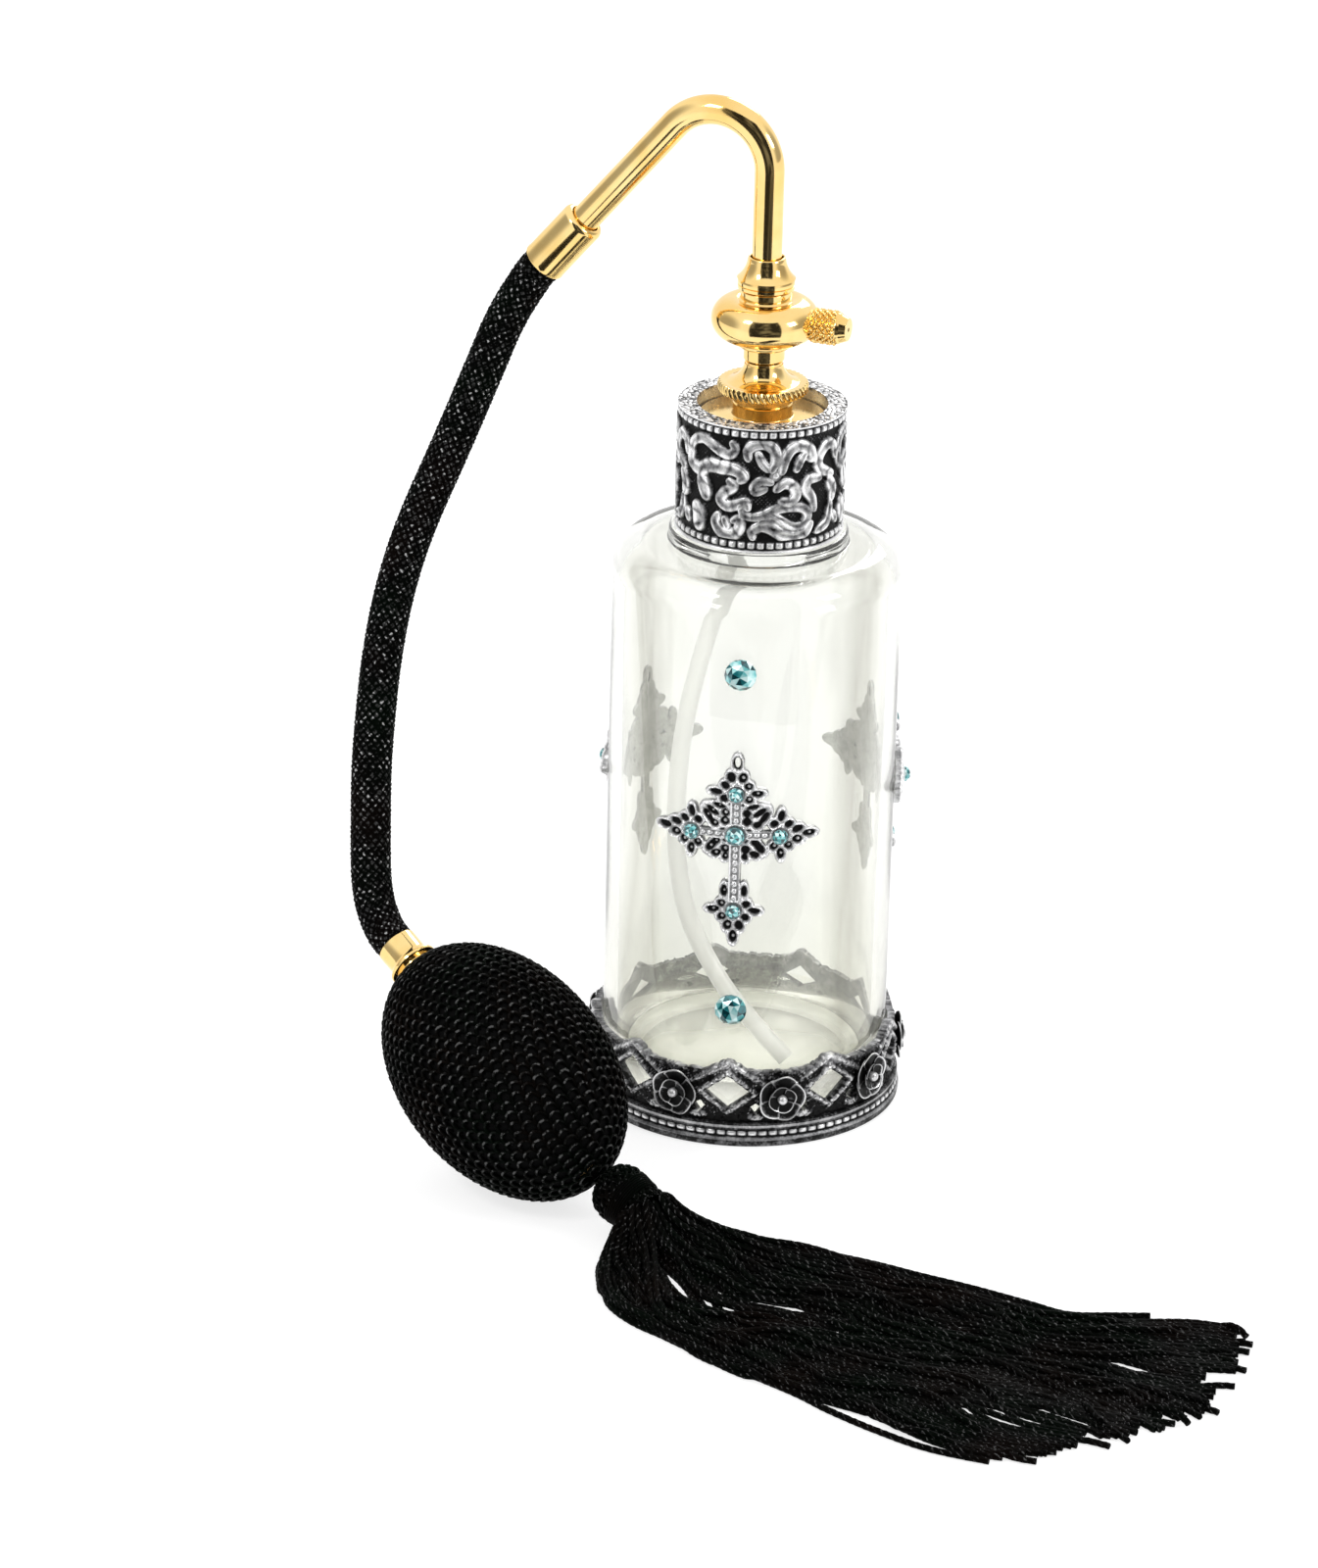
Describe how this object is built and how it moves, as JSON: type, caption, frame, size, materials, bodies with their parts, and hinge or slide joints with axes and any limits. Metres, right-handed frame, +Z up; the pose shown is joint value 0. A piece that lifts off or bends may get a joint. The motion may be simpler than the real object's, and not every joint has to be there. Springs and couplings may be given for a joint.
{
  "type": "perfume bottle",
  "caption": "Cylindrical glass perfume bottle with silver trim, crystal crosses and a gilt atomizer worked by a net-covered rubber bulb with a tassel.",
  "frame": {"origin": "centre of the flat underside of the glass bottle, on the table", "axes": "+Z up along the bottle's axis, the front cross faces -Y, the nozzle points near +X and the gooseneck near -X"},
  "size_m": [0.1537, 0.1619, 0.1736],
  "materials": {
    "clear_glass": "clear polished moulded glass with a faint grey-green tint",
    "antiqued_silver": "antiqued silver plate, bright on the relief and black in the recesses",
    "gilt_brass": "mirror-polished yellow gilt",
    "plain_brass": "turned plain brass",
    "steel_ball": "polished steel",
    "white_seal": "soft white seal",
    "clear_tube": "translucent plastic tube",
    "black_rubber": "matte black rubber",
    "aqua_crystal": "foil-backed faceted aqua crystal",
    "hose_braid": "black open braid with a slight sheen",
    "bulb_crochet": "black crocheted net of looped thread",
    "tassel_cord": "black twisted rayon cord"
  },
  "bodies": {
    "bottle": {"glass_bottle": "clear_glass", "base_gallery": "antiqued_silver", "neck_collar": "antiqued_silver", "closure_plate": "gilt_brass", "neck_gasket": "white_seal", "cross_front": "antiqued_silver", "cross_right": "antiqued_silver", "cross_left": "antiqued_silver", "stone_front_centre": "aqua_crystal", "stone_front_top": "aqua_crystal", "stone_front_right": "aqua_crystal", "stone_front_left": "aqua_crystal", "stone_front_bottom": "aqua_crystal", "stone_right_centre": "aqua_crystal", "stone_right_top": "aqua_crystal", "stone_right_right": "aqua_crystal", "stone_right_left": "aqua_crystal", "stone_right_bottom": "aqua_crystal", "stone_left_centre": "aqua_crystal", "stone_left_top": "aqua_crystal", "stone_left_right": "aqua_crystal", "stone_left_left": "aqua_crystal", "stone_left_bottom": "aqua_crystal", "big_stone_lower": "aqua_crystal", "big_stone_upper": "aqua_crystal"},
    "stem_unit": {"feed_stem": "plain_brass", "stem_gasket": "white_seal", "dip_tube": "clear_tube"},
    "bell_nut": {"bell_nut": "gilt_brass"},
    "head_unit": {"spray_head": "gilt_brass", "gooseneck_socket": "gilt_brass", "gooseneck_tube": "gilt_brass", "hose_ferrule": "gilt_brass", "hose_sleeve": "hose_braid", "hose_air_tube": "black_rubber", "bulb_ferrule": "gilt_brass", "bulb_net": "bulb_crochet", "bulb_rubber": "black_rubber", "outlet_valve_cage": "plain_brass", "inlet_valve_cage": "plain_brass", "tassel_head": "tassel_cord", "tassel_skirt": "tassel_cord"},
    "nozzle": {"nozzle": "gilt_brass"},
    "outlet_ball": {"outlet_valve_ball": "steel_ball"},
    "inlet_ball": {"inlet_valve_ball": "steel_ball"}
  },
  "joints": [
    {"name": "head_lift", "type": "slide", "parent": "bottle", "child": "stem_unit", "axis": [0, 0, 1], "range_m": [0, 0.115], "deforming": ["dip_tube"]},
    {"name": "nut_turn", "type": "hinge", "parent": "stem_unit", "child": "bell_nut", "pos_m": [0, 0, 0.1246], "axis": [0, 0, 1], "range_deg": [0, 1080]},
    {"name": "head_swivel", "type": "hinge", "parent": "stem_unit", "child": "head_unit", "pos_m": [0, 0, 0.1301], "axis": [0, 0, 1], "continuous": true},
    {"name": "nozzle_turn", "type": "hinge", "parent": "head_unit", "child": "nozzle", "pos_m": [0, 0, 0.137], "axis": [0.9703, -0.2419, 0], "range_deg": [0, 720]},
    {"name": "bulb_squeeze", "type": "slide", "parent": "head_unit", "child": "outlet_ball", "axis": [-0.6862, 0.5557, 0.4695], "range_m": [0, 0.001], "deforming": ["bulb_net", "bulb_rubber"]},
    {"name": "bulb_refill", "type": "slide", "parent": "head_unit", "child": "inlet_ball", "axis": [-0.6862, 0.5557, 0.4695], "range_m": [0, 0.001]}
  ]
}
